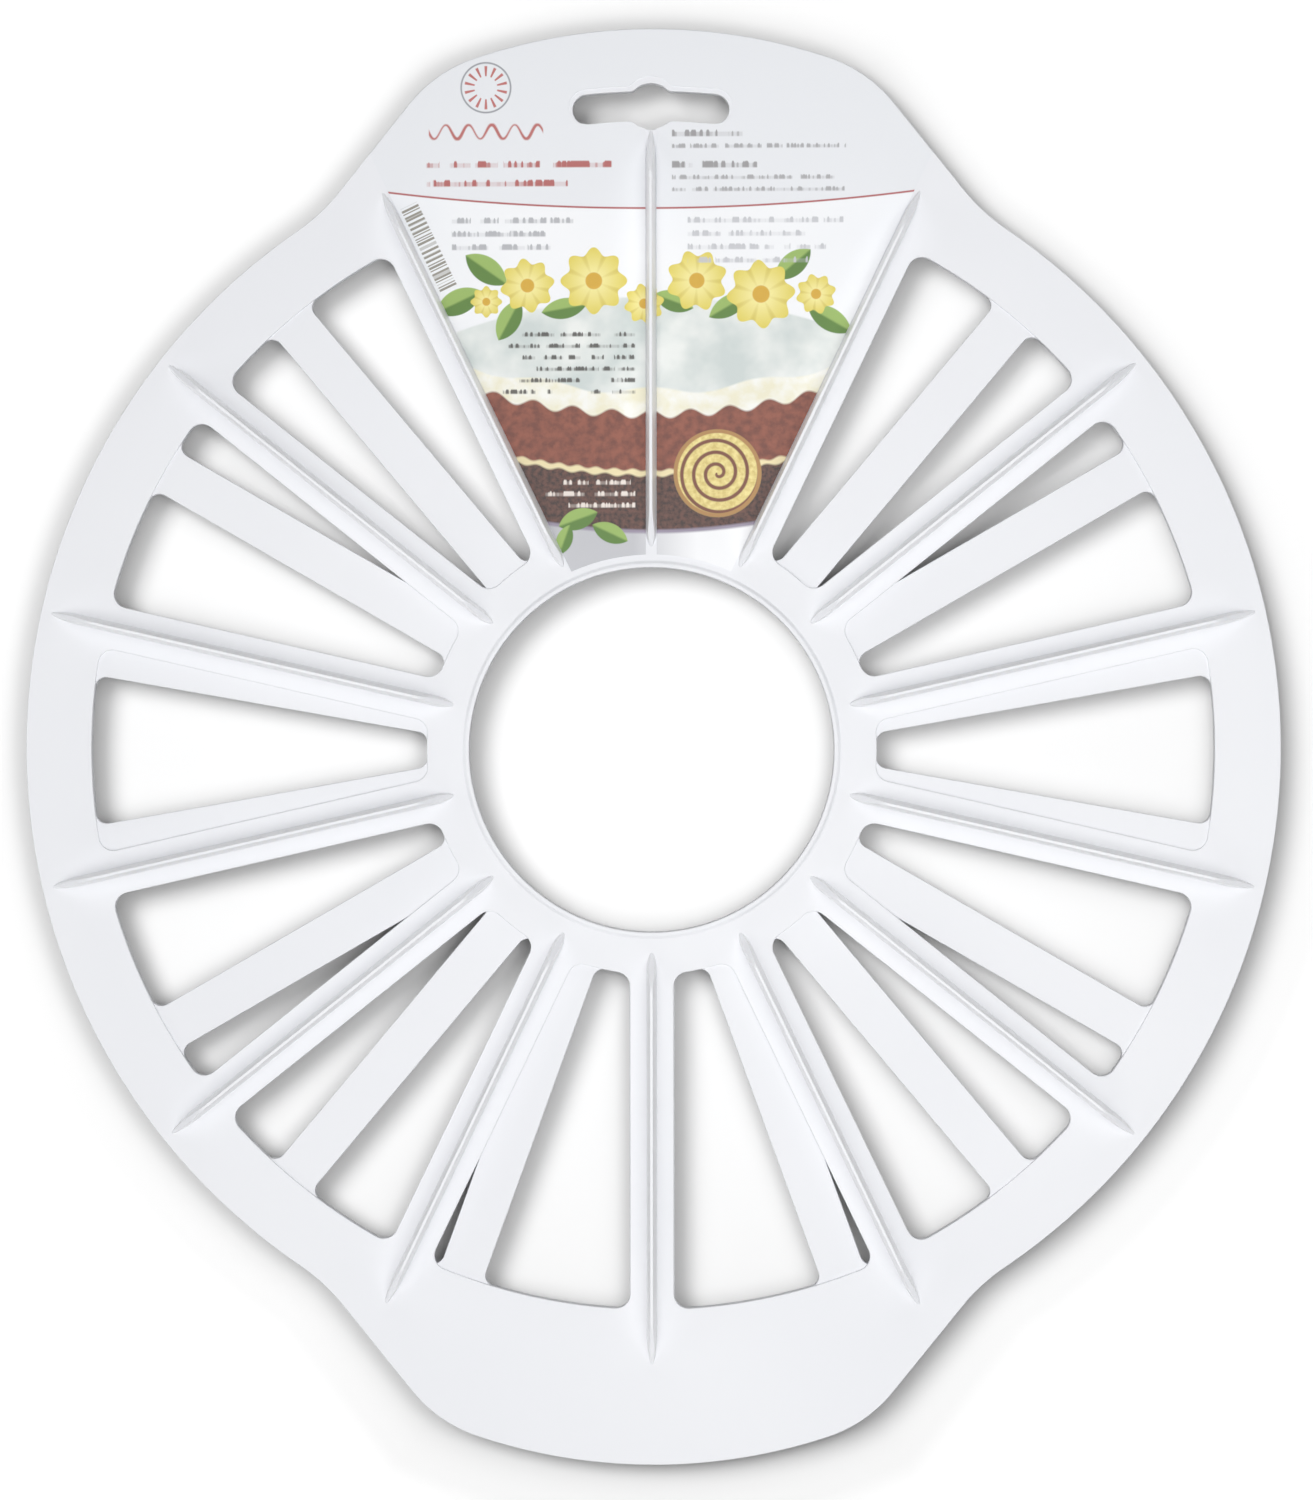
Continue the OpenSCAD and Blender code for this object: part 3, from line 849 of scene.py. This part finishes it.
# %% Floor
FLOOR_HALF, FLOOR_Z = 6.0, -0.2 * MM
floor_mesh = bpy.data.meshes.new("floor")
corners = [(x * FLOOR_HALF, y * FLOOR_HALF, FLOOR_Z) for x, y in ((-1, -1), (1, -1), (1, 1), (-1, 1))]
floor_mesh.from_pydata(corners, [], [(0, 1, 2, 3)])
floor = bpy.data.objects.new("floor", floor_mesh)
bpy.context.scene.collection.objects.link(floor)
white, shader, links, add, calc = material("floor")
rays = add("LightPath").node
seen = calc("MAXIMUM", rays.outputs["Is Camera Ray"], rays.outputs["Is Glossy Ray"])
seen = calc("MAXIMUM", seen, rays.outputs["Is Transmission Ray"])
links.new(tint(add, seen, (0.04, 0.04, 0.04, 1), (0.95, 0.95, 0.95, 1)), shader.inputs["Base Color"])


def from_circle(y, radius):
    """Distance outside a circle round the point at y on the ears' axis."""
    offset = add("CombineXYZ", floor_x, calc("SUBTRACT", floor_y, y), 0.0)
    return calc("SUBTRACT", add("VectorMath", offset, out=1, operation="LENGTH"), radius)


floor_place = add("SeparateXYZ", add("TexCoord", out=3)).node
floor_x, floor_y = (calc("ABSOLUTE", floor_place.outputs[i]) for i in range(2))
flank_out = polar(1.0, 90 - FLANK_ANGLE)
beyond_flank = calc("MULTIPLY_ADD", floor_y, flank_out[1], FLANK_INSET - DISC_R)
beyond_flank = calc("MULTIPLY_ADD", floor_x, flank_out[0], beyond_flank)
beyond_ear = calc("MAXIMUM", from_circle(DISC_R + EAR_REACH - EAR_END_R, EAR_END_R), beyond_flank)
beyond = calc("MINIMUM", from_circle(0.0, DISC_R), beyond_ear)
close_glow = ramp(add, beyond, 2 * MM, 12 * MM, 0.0, 0.08)
glow = calc("MAXIMUM", close_glow, ramp(add, beyond, 10 * MM, 60 * MM))
shader.inputs["Emission Color"].default_value = (1, 1, 1, 1)
links.new(calc("MULTIPLY", seen, glow), shader.inputs["Emission Strength"])
shader.inputs["Roughness"].default_value = 1.0
shader.inputs["Specular IOR Level"].default_value = 0.0
floor_mesh.materials.append(white)

# %% [markdown]
# ## Light
# Plain soft studio light. A wide lamp close overhead gives the faces their light, a little more at the
# hub than at the rim. Four low ones around reach the steep flanks of the blades. A key lamp at the lower
# left makes each blade throw a faint shade to its upper right. The floor has lamps of its own: a close
# wide one and a small one above the wheel soften the shadow all round, and a farther one at the upper
# left draws it out to the lower right.

# %% Lamps and world
def lamp(name, spot, size, level, receivers):
    """A round area lamp at a spot that looks at the hub and lights only the given objects. Its power is
    the one that lights a plate at the hub, turned to it, at the level, where 1 shows a colour as it is
    written: level pi squared (distance squared + radius squared)."""
    data = bpy.data.lights.new(name, "AREA")
    data.shape = "DISK"
    data.size = size
    data.energy = level * math.pi**2 * (np.dot(spot, spot) + (size / 2) ** 2)
    obj = bpy.data.objects.new(name, data)
    obj.visible_camera = False
    bpy.context.scene.collection.objects.link(obj)
    spot = Vector(spot)
    obj.matrix_world = Matrix.Translation(spot) @ spot.to_track_quat("Z", "Y").to_matrix().to_4x4()
    lit = bpy.data.collections.new(name)
    for receiver in receivers:
        lit.objects.link(receiver)
    obj.light_linking.receiver_collection = lit


def around(azimuth, elevation, distance):
    """A spot at a direction and a distance from the hub."""
    a, e = math.radians(azimuth), math.radians(elevation)
    return distance * math.cos(a) * math.cos(e), distance * math.sin(a) * math.cos(e), distance * math.sin(e)


wheel = moulding + [sheet]
lamp("near_floor", (-0.002, 0.019, 0.368), 0.528, 0.44, [floor])
lamp("small_floor", (0.078, -0.014, 0.346), 0.128, 0.185, [floor])
lamp("far_floor", (-0.581, 0.376, 1.22), 0.72, 0.435, [floor])
lamp("over_wheel", (0.07, -0.03, 0.75), 0.83, 0.66, wheel)
lamp("key", (-1.09, -1.09, 1.84), 2.0, 0.15, wheel)
SIDE_ELEVATION, SIDE_DISTANCE, SIDE_SIZE = 10, 1.4, 1.2
for name, azimuth, level in (
    ("east", 0, 0.17), ("north", 90, 0.19), ("west", 180, 0.21), ("south", 270, 0.20)
):
    lamp(name, around(azimuth, SIDE_ELEVATION, SIDE_DISTANCE), SIDE_SIZE, level, wheel)

WORLD_LIGHT = 0.08
world = bpy.data.worlds.new("world")
world.use_nodes = True
tree = world.node_tree
rays = tree.nodes.new("ShaderNodeLightPath")
strength = tree.nodes.new("ShaderNodeMapRange")
strength.inputs["To Min"].default_value = WORLD_LIGHT
tree.links.new(rays.outputs["Is Camera Ray"], strength.inputs["Value"])
tree.links.new(strength.outputs[0], tree.nodes["Background"].inputs["Strength"])
tree.nodes["Background"].inputs["Color"].default_value = (1, 1, 1, 1)
bpy.context.scene.world = world
bpy.context.scene.view_settings.view_transform = "Standard"
